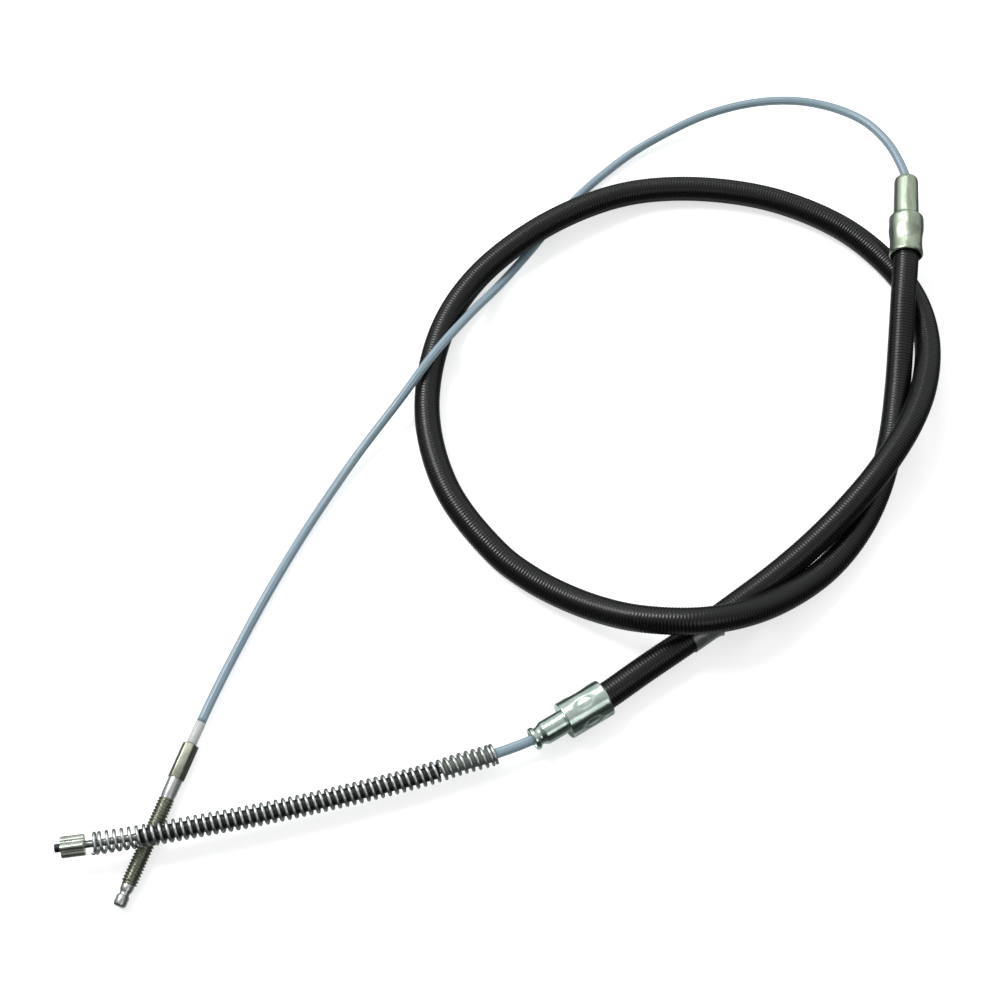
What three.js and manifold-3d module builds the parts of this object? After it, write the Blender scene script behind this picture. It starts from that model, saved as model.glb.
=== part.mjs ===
// A parking brake cable, laid on a surface as it lies when it is not fitted: a ribbed black conduit
// with a crimped ferrule at each end, a coated wire cable that runs through it, a threaded end rod for
// the lever side, and a return spring with a crimped nipple for the drum side.
// Millimetres, +Z up. The origin is the middle of the part's footprint, on the surface it lies on.

import * as THREE from 'three';
import * as BufferGeometryUtils from 'three/addons/utils/BufferGeometryUtils.js';
import Module from 'manifold-3d';

const wasm = await Module();
wasm.setup();

// Driving sizes
const FIT = 0.3;                 // gap between a piece and the one that holds it
const SHEATH_R = 5.5;            // plastic conduit, outside
const SHEATH_WALL = 1.0;
const ARMOUR_R = SHEATH_R - SHEATH_WALL - FIT;
const COAT_R = 1.9;              // plastic coat on the wire strand
const STRAND_R = 1.2;
const COAT_BORE_R = STRAND_R + FIT;
const ARMOUR_BORE_R = COAT_R + 0.4;
const FERRULE_BORE_R = COAT_R + 0.6;
const FERRULE_FLARE_R = FERRULE_BORE_R + 0.6;   // at the tip
const SEAT_DEPTH = 14.5;         // how far the conduit goes into each ferrule's cup
const LEVER_SLEEVE_R = 5.5;      // lever-side ferrule: sleeve, cone and cup, from its tip
const LEVER_SLEEVE_LENGTH = 17.4;
const LEVER_CONE_LENGTH = 3.1;
const LEVER_CUP_R = 7.65;
const LEVER_CUP_LENGTH = 19.0;
const LEVER_WAIST_R = 7.2;
const LEVER_RIM_R = 7.5;
const DRUM_NOSE_LENGTH = 14.3;   // drum-side ferrule: flange, groove and collar, up to the shoulder
const DRUM_FLANGE_R = 4.5;
const DRUM_GROOVE_R = 3.7;
const DRUM_COLLAR_R = 4.65;
const DRUM_CUP_R = 7.5;
const DRUM_CUP_LENGTH = 18.7;
const HEX_R = 3.35;              // across the corners of the rod's hexagon
const HEX_LENGTH = 14.4;
const SHANK_R = 2.8;
const SHANK_LENGTH = 7.6;
const THREAD_R = 3.0;            // M6
const THREAD_LENGTH = 35.0;
const KNOB_R = 2.4;
const KNOB_NECK_R = 1.7;
const KNOB_LENGTH = 8.4;
const ROD_BORE_DEPTH = 12.0;      // hole for the strand in the rod's hexagon
const CLEAR_COLLAR_LENGTH = 9.5;
const NIPPLE_LENGTH = 9.6;
const NIPPLE_R = 4.2;
const STUB_LENGTH = 1.8;         // strand that stands out of the nipple
const SPRING_R = 3.68;           // to the middle of the wire
const WIRE_R = 0.6;
const SPRING_TURNS = 57;
const CLOSED_TURNS = 1.25;        // at each end of the spring
const CLOSED_PITCH = 1.4;
const SPRING_START = 2.4;        // from the nipple's face
const GUIDE_GAP = 15.5;          // from the ferrule's tip to the spring and its guide
const BLACK_SLEEVE_R = 2.7;
const BLACK_SLEEVE_START = 19.5; // from the nipple's face
const BLACK_SLEEVE_GAP = 2.0;    // between the black sleeve and the guide
const GUIDE_R = 2.75;
const GUIDE_LENGTH = 20.0;
const SPLIT_SLEEVE_R = 6.35;
const SPLIT_SLEEVE_LENGTH = 13.0;
const SPLIT_WIDTH = 1.2;

// Where the ends lie: the conduit's two mouths, and the way each ferrule points
const LEVER_MOUTH = new THREE.Vector3(177.1, 109.2, 19.4);
const LEVER_AIM = new THREE.Vector3(0.094, 0.993, 0.0906).normalize();
const DRUM_MOUTH = new THREE.Vector3(40.5, -89.2, 7.5);
const DRUM_AIM = new THREE.Vector3(-0.8536, -0.521, 0).normalize();
const ROD_START = new THREE.Vector3(-119.0, -106.9, 3.05);
const ROD_AIM = new THREE.Vector3(-0.325, -0.9457, 0).normalize();

// The conduit's route between its two mouths
const CONDUIT_ROUTE = [
  [174.6, 90.8, 16.6], [172.1, 68.8, 11.2], [169.3, 48.0, 6.9], [164.4, 25.0, 5.6],
  [155.9, 0.5, 5.6], [145.9, -17.7, 5.7], [132.7, -33.6, 6.8], [116.5, -46.7, 10.4],
  [97.4, -57.6, 17.1], [77.5, -62.8, 20.9], [55.1, -60.2, 16.7], [40.4, -54.5, 11.4],
  [25.8, -46.9, 7.6], [11.6, -37.9, 5.9], [-1.4, -26.8, 5.6], [-22.0, 2.5, 5.6],
  [-31.0, 39.9, 5.6], [-25.4, 78.9, 5.7], [-11.0, 105.0, 7.4], [13.0, 127.4, 9.6],
  [39.7, 144.3, 8.8], [63.9, 154.0, 6.3], [94.3, 155.7, 5.6], [126.3, 149.1, 5.6],
  [155.2, 133.3, 5.6], [174.4, 112.1, 5.6], [182.5, 95.6, 5.7], [184.5, 73.1, 8.6],
  [179.6, 48.7, 13.0], [170.1, 27.1, 16.4], [155.3, 5.0, 16.6], [141.3, -11.0, 14.2],
  [126.5, -25.3, 11.4], [110.8, -38.4, 9.2], [94.7, -50.4, 7.9], [78.2, -62.5, 7.5],
  [55.1, -78.7, 7.5],
];

// The coated cable from the lever-side ferrule to the rod
const CABLE_ROUTE = [
  [177.3, 161.7, 23.5], [173.3, 171.2, 22.8], [166.3, 181.4, 21.6], [156.0, 190.2, 19.4],
  [142.4, 197.3, 16.4], [128.3, 200.9, 13.2], [112.8, 201.1, 10.0], [94.6, 196.8, 7.2],
  [78.4, 189.3, 4.8], [62.1, 179.3, 3.0], [49.0, 168.2, 2.1], [37.0, 155.8, 2.0],
  [24.1, 139.2, 2.0], [12.1, 122.2, 2.0], [-0.2, 104.4, 4.2], [-13.9, 84.5, 9.8],
  [-28.6, 62.5, 13.3], [-41.8, 42.9, 10.6], [-60.7, 17.5, 4.2], [-78.3, -12.1, 2.0],
  [-93.5, -42.7, 2.0], [-106.6, -72.9, 2.1], [-112.4, -87.9, 2.6],
];

// The drum-side cable from the ferrule's tip to the nipple's face
const DRUM_ROUTE = [
  [-2.3, -112.0, 7.2], [-15.1, -115.8, 7.2], [-28.2, -120.2, 7.4], [-60.2, -128.9, 8.2],
  [-89.7, -135.9, 9.2], [-113.4, -140.7, 10.0], [-129.7, -143.9, 10.6], [-145.9, -146.8, 11.2],
  [-152.7, -147.8, 11.5],
];

const point = (xyz) => new THREE.Vector3(...xyz);
const along = (from, aim, distance) => from.clone().addScaledVector(aim, distance);

const LEVER_FERRULE_LENGTH = LEVER_SLEEVE_LENGTH + LEVER_CONE_LENGTH + LEVER_CUP_LENGTH;
const DRUM_FERRULE_LENGTH = DRUM_NOSE_LENGTH + DRUM_CUP_LENGTH;
const LEVER_TIP = along(LEVER_MOUTH, LEVER_AIM, LEVER_FERRULE_LENGTH);
const DRUM_TIP = along(DRUM_MOUTH, DRUM_AIM, DRUM_FERRULE_LENGTH);
const NIPPLE_FACE = point(DRUM_ROUTE.at(-1));
const NIPPLE_AIM = NIPPLE_FACE.clone().sub(point(DRUM_ROUTE.at(-2))).normalize();

function curveThrough(points) {
  const curve = new THREE.CatmullRomCurve3(points, false, 'centripetal');
  curve.arcLengthDivisions = 2000;
  return curve;
}

// A stretch of a curve, measured in millimetres from its start
class Stretch extends THREE.Curve {
  constructor(curve, start, end) {
    super();
    this.curve = curve;
    this.total = curve.getLength();
    this.start = start;
    this.end = end;
  }

  getPoint(t, target = new THREE.Vector3()) {
    const distance = this.start + t * (this.end - this.start);
    return this.curve.getPointAt(Math.min(1, Math.max(0, distance / this.total)), target);
  }
}

// A helix of the spring's wire round a curve, with its end coils wound closer
class Coil extends THREE.Curve {
  constructor(core, radius, turns) {
    super();
    this.core = core;
    this.radius = radius;
    this.turns = turns;
    this.closed = CLOSED_TURNS * CLOSED_PITCH / (core.end - core.start);
    this.arcLengthDivisions = turns * 36;
  }

  turnAt(t) {
    const share = Math.min(t, this.closed) + Math.max(0, t - 1 + this.closed);
    const open = (t - share) / (1 - 2 * this.closed);
    return CLOSED_TURNS * share / this.closed + (this.turns - 2 * CLOSED_TURNS) * open;
  }

  getPoint(t, target = new THREE.Vector3()) {
    const tangent = this.core.getTangent(t);
    const side = new THREE.Vector3(0, 0, 1).cross(tangent).normalize();
    const up = tangent.clone().cross(side);
    const angle = 2 * Math.PI * this.turnAt(t);
    return target
      .copy(this.core.getPoint(t))
      .addScaledVector(side, this.radius * Math.cos(angle))
      .addScaledVector(up, this.radius * Math.sin(angle));
  }
}

function ring(radius, bore, sides) {
  const corners = (r) => Array.from({ length: sides }, (_, i) => {
    const angle = (2 * Math.PI * i) / sides;
    return new THREE.Vector2(r * Math.cos(angle), r * Math.sin(angle));
  });
  const shape = new THREE.Shape(corners(radius));
  if (bore > 0) shape.holes.push(new THREE.Path(corners(bore)));
  return shape;
}

function tube(curve, radius, bore, sides, steps) {
  return new THREE.ExtrudeGeometry(ring(radius, bore, sides), { steps, extrudePath: curve });
}

// A turned piece: the profile is [distance along the axis, radius], closed on itself
function turned(profile, segments) {
  const points = [...profile, profile[0]].map(([x, r]) => new THREE.Vector2(r, x));
  return new THREE.LatheGeometry(points, segments);
}

// A prism that starts at the origin and runs along +Y, as a turned piece does
function prism(shape, length) {
  const geometry = new THREE.ExtrudeGeometry(shape, { depth: length, bevelEnabled: false });
  return geometry.rotateX(-Math.PI / 2);
}

function signedVolume(geometry) {
  const p = geometry.attributes.position;
  const index = geometry.index;
  const corner = [0, 1, 2].map(() => new THREE.Vector3());
  let volume = 0;
  for (let i = 0; i < index.count; i += 3) {
    corner.forEach((c, k) => c.fromBufferAttribute(p, index.getX(i + k)));
    volume += corner[0].dot(corner[1].clone().cross(corner[2])) / 6;
  }
  return volume;
}

// Shared corners are merged, and the faces are turned to point out
function closed(geometry) {
  const bare = geometry.clone();
  bare.deleteAttribute('normal');
  bare.deleteAttribute('uv');
  const merged = BufferGeometryUtils.mergeVertices(bare, 1e-4);
  if (signedVolume(merged) < 0) merged.setIndex([...merged.index.array].reverse());
  return merged;
}

function solid(geometry) {
  const merged = closed(geometry);
  return new wasm.Manifold(new wasm.Mesh({
    numProp: 3,
    vertProperties: new Float32Array(merged.attributes.position.array),
    triVerts: new Uint32Array(merged.index.array),
  }));
}

function fromSolid(manifold) {
  const mesh = manifold.getMesh();
  const geometry = new THREE.BufferGeometry();
  geometry.setAttribute('position', new THREE.BufferAttribute(mesh.vertProperties, 3));
  geometry.setIndex(new THREE.BufferAttribute(mesh.triVerts, 1));
  return geometry;
}

function material(color, roughness, metalness) {
  return new THREE.MeshStandardMaterial({ color, roughness, metalness });
}

const brakeCable = new THREE.Group();

function add(name, geometry, look) {
  const mesh = new THREE.Mesh(closed(geometry), look);
  mesh.name = name;
  brakeCable.add(mesh);
  return mesh;
}

// Place a piece whose own +Y axis is to point along aim, starting at a point
function addAimed(name, geometry, look, from, aim, roll = 0) {
  const mesh = add(name, geometry, look);
  mesh.quaternion.setFromUnitVectors(new THREE.Vector3(0, 1, 0), aim);
  mesh.rotateY(roll);
  mesh.position.copy(from);
  return mesh;
}

// The conduit: a plastic sheath over a wound steel armour, seated in both ferrules, with the middle
// stretch of the inner cable in it
const LEVER_SEAT = along(LEVER_MOUTH, LEVER_AIM, SEAT_DEPTH);
const DRUM_SEAT = along(DRUM_MOUTH, DRUM_AIM, SEAT_DEPTH);
const conduitLine = curveThrough([
  LEVER_SEAT,
  LEVER_MOUTH,
  ...CONDUIT_ROUTE.map(point),
  DRUM_MOUTH,
  DRUM_SEAT,
]);
const CONDUIT_STEPS = 48;
const conduitTube = (radius, bore, sides) => tube(conduitLine, radius, bore, sides, CONDUIT_STEPS);

function addConduit() {
  const black = material(0x1d2021, 0.55, 0.0);
  const steel = material(0x9aa09c, 0.4, 0.9);
  add('conduit_sheath', conduitTube(SHEATH_R, SHEATH_R - SHEATH_WALL, 12), black);
  add('armour_coil', conduitTube(ARMOUR_R, ARMOUR_BORE_R, 8), steel);
}

function addInnerCable() {
  const blue = material(0xa9c6d2, 0.3, 0.0);
  const steel = material(0xb4b8b4, 0.35, 0.9);
  add('inner_coat', conduitTube(COAT_R, COAT_BORE_R, 8), blue);
  add('inner_strand', conduitTube(STRAND_R, 0, 8), steel);
}

// Lever-side ferrule, from its tip: a sleeve, a cone, and a cup with a crimped waist and a flared rim
function addLeverFerrule() {
  const length = LEVER_FERRULE_LENGTH;
  const cone = LEVER_SLEEVE_LENGTH;
  const shoulder = cone + LEVER_CONE_LENGTH;
  const toCup = (share) => shoulder + share * LEVER_CUP_LENGTH;
  const rounding = LEVER_SLEEVE_R / 10;
  const bore = FERRULE_BORE_R;
  const cup = SHEATH_R + FIT;
  const floor = length - SEAT_DEPTH - FIT;
  const profile = [
    [4 * rounding, bore], [0, FERRULE_FLARE_R], [0, LEVER_SLEEVE_R - 3 * rounding],
    [rounding, LEVER_SLEEVE_R - rounding], [4 * rounding, LEVER_SLEEVE_R - 0.2],
    [cone, LEVER_SLEEVE_R + 0.15], [shoulder, LEVER_CUP_R - 0.1], [toCup(0.1), LEVER_CUP_R],
    [toCup(0.35), LEVER_CUP_R], [toCup(0.57), LEVER_WAIST_R], [toCup(0.7), LEVER_WAIST_R],
    [toCup(0.92), LEVER_RIM_R], [toCup(0.98), LEVER_RIM_R], [length, LEVER_RIM_R - 0.3],
    [length, cup + 0.5], [toCup(0.9), cup], [floor, cup], [floor - 1.5, bore],
  ];
  const zinc = material(0x9fae9a, 0.42, 0.85);
  addAimed('lever_ferrule', turned(profile, 24), zinc, LEVER_TIP, LEVER_AIM.clone().negate());
}

// Drum-side ferrule, from its tip: a flange, a groove, a collar, a flat shoulder and a cup
function addDrumFerrule() {
  const length = DRUM_FERRULE_LENGTH;
  const toNose = (share) => share * DRUM_NOSE_LENGTH;
  const shoulder = DRUM_NOSE_LENGTH;
  const edge = DRUM_CUP_R / 25;
  const bore = FERRULE_BORE_R;
  const cup = SHEATH_R + FIT;
  const floor = length - SEAT_DEPTH - FIT;
  const profile = [
    [toNose(0.2), bore], [0, FERRULE_FLARE_R], [0, DRUM_FLANGE_R - edge], [edge, DRUM_FLANGE_R],
    [toNose(0.1), DRUM_FLANGE_R], [toNose(0.14), DRUM_GROOVE_R + 0.1], [toNose(0.25), DRUM_GROOVE_R],
    [toNose(0.41), DRUM_COLLAR_R], [shoulder, DRUM_COLLAR_R], [shoulder, DRUM_CUP_R - edge],
    [shoulder + edge, DRUM_CUP_R], [length - edge, DRUM_CUP_R], [length, DRUM_CUP_R - edge],
    [length, cup + 0.9], [length - DRUM_CUP_LENGTH / 6, cup + 0.2], [length - DRUM_CUP_LENGTH / 3, cup],
    [floor, cup], [floor - 1.5, bore],
  ];
  const zinc = material(0xb9d0c4, 0.25, 0.95);
  addAimed('drum_ferrule', turned(profile, 24), zinc, DRUM_TIP, DRUM_AIM.clone().negate());
}

// A split sleeve clipped round the conduit where it passes under its own arch
function addSplitSleeve() {
  const shell = solid(turned([
    [0, SHEATH_R + FIT], [0, SPLIT_SLEEVE_R], [SPLIT_SLEEVE_LENGTH - 3, SPLIT_SLEEVE_R],
    [SPLIT_SLEEVE_LENGTH, SPLIT_SLEEVE_R + 0.35], [SPLIT_SLEEVE_LENGTH, SHEATH_R + FIT + 0.35],
    [SPLIT_SLEEVE_LENGTH - 3, SHEATH_R + FIT],
  ], 24));
  const reach = SPLIT_SLEEVE_R + 2;
  const slit = new THREE.BoxGeometry(SPLIT_WIDTH, SPLIT_SLEEVE_LENGTH + 2, reach);
  slit.translate(0, SPLIT_SLEEVE_LENGTH / 2, reach / 2);
  const from = new THREE.Vector3(74.3, -65.3, 7.5);
  const aim = new THREE.Vector3(84.8, -57.8, 7.55).sub(from).normalize();
  const silver = material(0xc9cfcb, 0.25, 0.95);
  addAimed('split_sleeve', fromSolid(shell.subtract(solid(slit))), silver, from, aim, Math.PI / 2);
}

// The free cable on the lever side, and the rod that it is crimped into
const STRAND_IN_ROD = ROD_BORE_DEPTH - 2;
const leverLine = curveThrough([
  along(LEVER_SEAT, LEVER_AIM, FIT),
  along(LEVER_TIP, LEVER_AIM, -4),
  LEVER_TIP,
  ...CABLE_ROUTE.map(point),
  along(ROD_START, ROD_AIM, -CLEAR_COLLAR_LENGTH),
  ROD_START,
  along(ROD_START, ROD_AIM, STRAND_IN_ROD),
]);
const leverTotal = leverLine.getLength();

function addLeverCable() {
  const blue = material(0xa9c6d2, 0.3, 0.0);
  const steel = material(0xb4b8b4, 0.35, 0.9);
  const coatEnd = leverTotal - STRAND_IN_ROD - CLEAR_COLLAR_LENGTH - FIT;
  add('lever_coat', tube(new Stretch(leverLine, 0, coatEnd), COAT_R, COAT_BORE_R, 8, 60), blue);
  add('lever_strand', tube(new Stretch(leverLine, 0, leverTotal), STRAND_R, 0, 8, 60), steel);
}

// The rod, from the cable: a hexagon, a shank, a thread, and a knob behind a neck
function addThreadedEnd() {
  const thread = HEX_LENGTH + SHANK_LENGTH;
  const knob = thread + THREAD_LENGTH;
  const toKnob = (share) => knob + share * KNOB_LENGTH;
  const hexagon = prism(ring(HEX_R, 0, 6), HEX_LENGTH);
  const round = turned([
    [HEX_LENGTH - 1, 0], [HEX_LENGTH - 1, SHANK_R], [thread - 0.6, SHANK_R - 0.1], [thread, THREAD_R],
    [knob - 0.5, THREAD_R], [knob, KNOB_R], [toKnob(0.25), KNOB_R], [toKnob(0.36), KNOB_NECK_R],
    [toKnob(0.46), KNOB_NECK_R], [toKnob(0.56), KNOB_R], [toKnob(0.9), KNOB_R],
    [toKnob(1), KNOB_NECK_R], [toKnob(1), 0],
  ], 20);
  const bore = new THREE.CylinderGeometry(STRAND_R + FIT, STRAND_R + FIT, 2 * ROD_BORE_DEPTH, 12);
  const rod = solid(hexagon).add(solid(round)).subtract(solid(bore));
  const olive = material(0x7f8470, 0.45, 0.85);
  addAimed('threaded_end', fromSolid(rod), olive, ROD_START, ROD_AIM);
}

function addClearCollar() {
  const milky = material(0xdfe8e6, 0.25, 0.0);
  const length = CLEAR_COLLAR_LENGTH - FIT;
  const bore = STRAND_R + FIT;
  const profile = [[0, bore], [0, 2.0], [length, 1.95], [length, bore]];
  const from = along(ROD_START, ROD_AIM, -CLEAR_COLLAR_LENGTH);
  addAimed('clear_collar', turned(profile, 12), milky, from, ROD_AIM);
}

// The drum side: cable, spring guide, black sleeve, spring and nipple
const drumLine = curveThrough([
  along(DRUM_SEAT, DRUM_AIM, FIT),
  along(DRUM_TIP, DRUM_AIM, -4),
  DRUM_TIP,
  ...DRUM_ROUTE.map(point),
  along(NIPPLE_FACE, NIPPLE_AIM, NIPPLE_LENGTH + STUB_LENGTH),
]);
const drumTotal = drumLine.getLength();
const nippleFaceAt = drumTotal - NIPPLE_LENGTH - STUB_LENGTH;
const drumTipAt = DRUM_FERRULE_LENGTH - SEAT_DEPTH - FIT;

// From the nipple's face
const SPRING_END = nippleFaceAt - drumTipAt - GUIDE_GAP;
const GUIDE_START = SPRING_END - GUIDE_LENGTH;
const BLACK_SLEEVE_END = GUIDE_START - BLACK_SLEEVE_GAP;

// A stretch of the drum-side cable, measured from the nipple's face towards the ferrule
const fromNipple = (near, far) => new Stretch(drumLine, nippleFaceAt - far, nippleFaceAt - near);

function addDrumCable() {
  const blue = material(0xa9c6d2, 0.3, 0.0);
  const steel = material(0xb4b8b4, 0.35, 0.9);
  const coatEnd = nippleFaceAt - GUIDE_START - 3;
  add('drum_coat', tube(new Stretch(drumLine, 0, coatEnd), COAT_R, COAT_BORE_R, 8, 8), blue);
  add('drum_strand', tube(new Stretch(drumLine, 0, drumTotal), STRAND_R, 0, 8, 20), steel);
}

function addSpringSet() {
  const bright = material(0xaeb4b4, 0.25, 0.95);
  const black = material(0x121314, 0.5, 0.0);
  const grey = material(0x7d8a80, 0.5, 0.3);
  const spring = new Coil(fromNipple(SPRING_START, SPRING_END), SPRING_R, SPRING_TURNS);
  const wire = tube(spring, WIRE_R, 0, 4, SPRING_TURNS * 9);
  add('return_spring', wire, bright);
  const sleeve = fromNipple(BLACK_SLEEVE_START, BLACK_SLEEVE_END);
  add('black_sleeve', tube(sleeve, BLACK_SLEEVE_R, STRAND_R + FIT, 10, 14), black);
  const guide = fromNipple(GUIDE_START, SPRING_END);
  add('spring_guide', tube(guide, GUIDE_R, COAT_R + FIT, 12, 4), grey);
}

// The nipple is a tube crimped into four lobes, one of them facing up. Each corner of a lobe is an
// angle from its ridge and a share of the nipple's radius.
const LOBES = 4;
const LOBE_CORNERS = [[-0.51, 0.83], [-0.11, 0.99], [0, 1], [0.11, 0.99], [0.51, 0.83], [Math.PI / LOBES, 0.62]];

function addNipple() {
  const corners = [];
  for (let lobe = 0; lobe < LOBES; lobe += 1) {
    const ridge = (2 * Math.PI * lobe) / LOBES;
    for (const [offset, share] of LOBE_CORNERS) {
      const r = share * NIPPLE_R;
      corners.push(new THREE.Vector2(r * Math.cos(ridge + offset), r * Math.sin(ridge + offset)));
    }
  }
  const shape = new THREE.Shape(corners);
  shape.holes.push(new THREE.Path(ring(STRAND_R + FIT, 0, 12).getPoints()));
  const zinc = material(0x98a29c, 0.35, 0.9);
  const roll = THREE.MathUtils.degToRad(-16);
  addAimed('nipple', prism(shape, NIPPLE_LENGTH), zinc, NIPPLE_FACE, NIPPLE_AIM, roll);
}

addConduit();
addInnerCable();
addLeverFerrule();
addDrumFerrule();
addSplitSleeve();
addLeverCable();
addThreadedEnd();
addClearCollar();
addDrumCable();
addSpringSet();
addNipple();

// The origin goes to the middle of the footprint, at the height of the lowest point
const box = new THREE.Box3().setFromObject(brakeCable, true);
const middle = box.getCenter(new THREE.Vector3());
brakeCable.position.set(-middle.x, -middle.y, -box.min.z);

export default brakeCable;
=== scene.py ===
import bpy
import bmesh
import math
import numpy as np
from mathutils import Matrix, Vector


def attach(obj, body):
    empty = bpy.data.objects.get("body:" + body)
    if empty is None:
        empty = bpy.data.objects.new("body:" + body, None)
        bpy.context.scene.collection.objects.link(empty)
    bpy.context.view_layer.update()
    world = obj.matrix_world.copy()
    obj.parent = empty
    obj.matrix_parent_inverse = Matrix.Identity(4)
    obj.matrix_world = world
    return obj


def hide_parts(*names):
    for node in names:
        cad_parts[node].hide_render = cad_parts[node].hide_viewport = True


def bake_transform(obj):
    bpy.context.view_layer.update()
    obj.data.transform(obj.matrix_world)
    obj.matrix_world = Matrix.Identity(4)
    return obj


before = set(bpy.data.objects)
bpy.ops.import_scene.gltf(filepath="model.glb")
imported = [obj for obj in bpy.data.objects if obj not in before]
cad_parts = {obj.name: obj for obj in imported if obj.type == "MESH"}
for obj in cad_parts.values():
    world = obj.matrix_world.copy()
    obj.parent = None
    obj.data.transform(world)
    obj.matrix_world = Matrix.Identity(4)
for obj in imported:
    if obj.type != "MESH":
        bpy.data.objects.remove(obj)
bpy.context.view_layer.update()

# Sizes with MM are in metres, the others in millimetres. Places are given in millimetres on the surface
# that the cable lies on, in the frame of the view, and MIDDLE moves them to the part's own frame.
MM = 0.001
MIDDLE = np.array([-12.9612, -16.9712, 0.0])

SHEATH_R = 5.5 * MM
RIB_PITCH = 1.3 * MM
RIB_DEPTH = 0.16 * MM
COAT_R = 1.9 * MM
DRUM_COAT_R = 2.0 * MM
STRAND_R = 1.3 * MM
DRUM_STRAND_R = 1.42 * MM
STRANDS = 7
STRAND_LAY = 14 * MM
SEAT_DEPTH = 14.5
FIT = 0.3
LEVER_FERRULE_LENGTH = 39.5
DRUM_FERRULE_LENGTH = 33.0
HEX_R = 3.35
HEX_LENGTH = 14.4
SHANK_R = 2.8
SHANK_LENGTH = 7.6
THREAD_R = 3.08
THREAD_LENGTH = 35.0
THREAD_PITCH = 1.25
KNOB_LENGTH = 8.4
CLEAR_COLLAR_LENGTH = 9.5
STRAND_IN_ROD = 10.0
NIPPLE_LENGTH = 9.6
NIPPLE_ROUNDING = 0.4
NIPPLE_R = 4.011
STUB_R = 1.58 * MM
STUB_LENGTH = 1.8
SPRING_R = 3.68
WIRE_R = 0.65
SPRING_TURNS = 57
CLOSED_TURNS = 1.25
CLOSED_PITCH = 1.4
SPRING_START = 2.4
SPRING_END = 155.04
GUIDE_R = 2.75 * MM
GUIDE_LENGTH = 20.0
COAT_IN_GUIDE = 17.0
BLACK_SLEEVE_R = 2.7 * MM
BLACK_SLEEVE_START = 19.5
BLACK_SLEEVE_END = 133.04

# The conduit's route between its two mouths
CONDUIT_ROUTE = [
    (174.6, 90.8, 16.6), (172.1, 68.8, 11.2), (169.3, 48.0, 6.9), (164.4, 25.0, 5.6),
    (155.9, 0.5, 5.6), (145.9, -17.7, 5.7), (132.7, -33.6, 6.8), (116.5, -46.7, 10.4),
    (97.4, -57.6, 17.1), (77.5, -62.8, 20.9), (55.1, -60.2, 16.7), (40.4, -54.5, 11.4),
    (25.8, -46.9, 7.6), (11.6, -37.9, 5.9), (-1.4, -26.8, 5.6), (-22.0, 2.5, 5.6),
    (-31.0, 39.9, 5.6), (-25.4, 78.9, 5.7), (-11.0, 105.0, 7.4), (13.0, 127.4, 9.6),
    (39.7, 144.3, 8.8), (63.9, 154.0, 6.3), (94.3, 155.7, 5.6), (126.3, 149.1, 5.6),
    (155.2, 133.3, 5.6), (174.4, 112.1, 5.6), (182.5, 95.6, 5.7), (184.5, 73.1, 8.6),
    (179.6, 48.7, 13.0), (170.1, 27.1, 16.4), (155.3, 5.0, 16.6), (141.3, -11.0, 14.2),
    (126.5, -25.3, 11.4), (110.8, -38.4, 9.2), (94.7, -50.4, 7.9), (78.2, -62.5, 7.5),
    (55.1, -78.7, 7.5),
]

# The coated cable from the lever-side ferrule to the rod
CABLE_ROUTE = [
    (177.3, 161.7, 23.5), (173.3, 171.2, 22.8), (166.3, 181.4, 21.6), (156.0, 190.2, 19.4),
    (142.4, 197.3, 16.4), (128.3, 200.9, 13.2), (112.8, 201.1, 10.0), (94.6, 196.8, 7.2),
    (78.4, 189.3, 4.8), (62.1, 179.3, 3.0), (49.0, 168.2, 2.1), (37.0, 155.8, 2.0),
    (24.1, 139.2, 2.0), (12.1, 122.2, 2.0), (-0.2, 104.4, 4.2), (-13.9, 84.5, 9.8),
    (-28.6, 62.5, 13.3), (-41.8, 42.9, 10.6), (-60.7, 17.5, 4.2), (-78.3, -12.1, 2.0),
    (-93.5, -42.7, 2.0), (-106.6, -72.9, 2.1), (-112.4, -87.9, 2.6),
]

# The drum-side cable from the ferrule's tip to the nipple's face
DRUM_ROUTE = [
    (-2.3, -112.0, 7.2), (-15.1, -115.8, 7.2), (-28.2, -120.2, 7.4), (-60.2, -128.9, 8.2),
    (-89.7, -135.9, 9.2), (-113.4, -140.7, 10.0), (-129.7, -143.9, 10.6), (-145.9, -146.8, 11.2),
    (-152.7, -147.8, 11.5),
]


def unit(vector):
    """The vector at length 1."""
    vector = np.array(vector, float)
    return vector / np.linalg.norm(vector)


LEVER_MOUTH = np.array([177.1, 109.2, 19.4])
LEVER_AIM = unit((0.094, 0.993, 0.0906))
DRUM_MOUTH = np.array([40.5, -89.2, 7.5])
DRUM_AIM = unit((-0.8536, -0.521, 0.0))
ROD_START = np.array([-119.0, -106.9, 3.05])
ROD_AIM = unit((-0.325, -0.9457, 0.0))
LEVER_TIP = LEVER_MOUTH + LEVER_FERRULE_LENGTH * LEVER_AIM
DRUM_TIP = DRUM_MOUTH + DRUM_FERRULE_LENGTH * DRUM_AIM
NIPPLE_FACE = np.array(DRUM_ROUTE[-1])
NIPPLE_AIM = unit(NIPPLE_FACE - np.array(DRUM_ROUTE[-2]))
VIEW_SIDE = unit((-0.05, -0.33, 0.94))
UP = np.array([0.0, 0.0, 1.0])


def metres(place):
    """A place in millimetres in the view's frame, as metres in the part's frame."""
    return (np.array(place, float) + MIDDLE) * MM


# Camera

CAMERA_HEIGHT = 596.6
CAMERA_BACK = -297.5
CAMERA_TILT = math.radians(26.5)
LENS = 57.6
SENSOR_WIDTH = 36.0


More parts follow.
